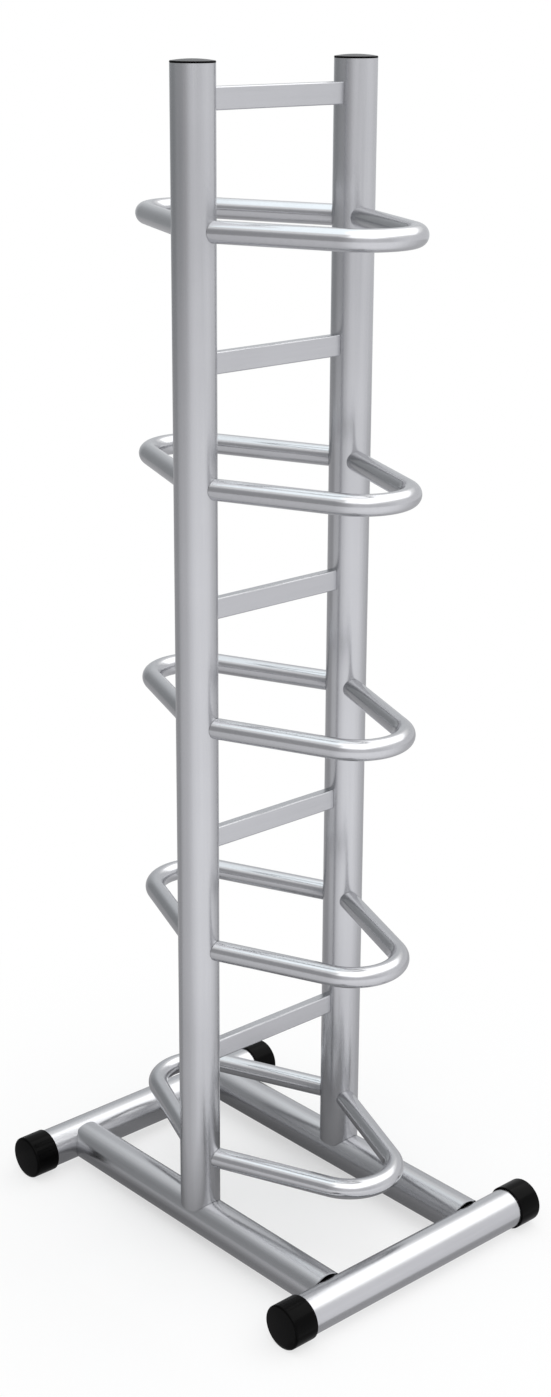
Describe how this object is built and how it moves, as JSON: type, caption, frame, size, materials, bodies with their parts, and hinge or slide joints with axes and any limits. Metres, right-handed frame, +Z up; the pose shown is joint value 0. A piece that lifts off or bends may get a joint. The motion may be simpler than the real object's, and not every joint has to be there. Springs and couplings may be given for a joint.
{
  "type": "medicine ball rack",
  "caption": "Free-standing double-sided medicine ball rack: round steel uprights on an H-shaped tube base, with tiers of bent-tube hoops to front and rear that each cradle a ball.",
  "frame": {"origin": "on the floor, midway between the foot tubes and midway between the uprights", "axes": "+Z up; +X to the front along the base rails; +Y to the right along the foot tubes and crossbars"},
  "size_m": [0.559, 0.423, 1.4307],
  "materials": {
    "coated_steel": "smooth satin silver coat",
    "foot_rubber": "smooth, faintly glossy black",
    "plug_plastic": "smooth charcoal"
  },
  "bodies": {
    "root": {"upright_left": "coated_steel", "upright_right": "coated_steel", "base_rail_left": "coated_steel", "base_rail_right": "coated_steel", "foot_tube_front": "coated_steel", "foot_tube_rear": "coated_steel", "foot_cap_front_left": "foot_rubber", "foot_cap_front_right": "foot_rubber", "foot_cap_rear_left": "foot_rubber", "foot_cap_rear_right": "foot_rubber", "top_cap_left": "plug_plastic", "top_cap_right": "plug_plastic", "crossbar_1": "coated_steel", "crossbar_2": "coated_steel", "crossbar_3": "coated_steel", "crossbar_4": "coated_steel", "crossbar_5": "coated_steel", "hoop_front_1": "coated_steel", "hoop_front_2": "coated_steel", "hoop_front_3": "coated_steel", "hoop_front_4": "coated_steel", "hoop_front_5": "coated_steel", "hoop_rear_1": "coated_steel", "hoop_rear_2": "coated_steel", "hoop_rear_3": "coated_steel", "hoop_rear_4": "coated_steel", "hoop_rear_5": "coated_steel"}
  },
  "joints": []
}
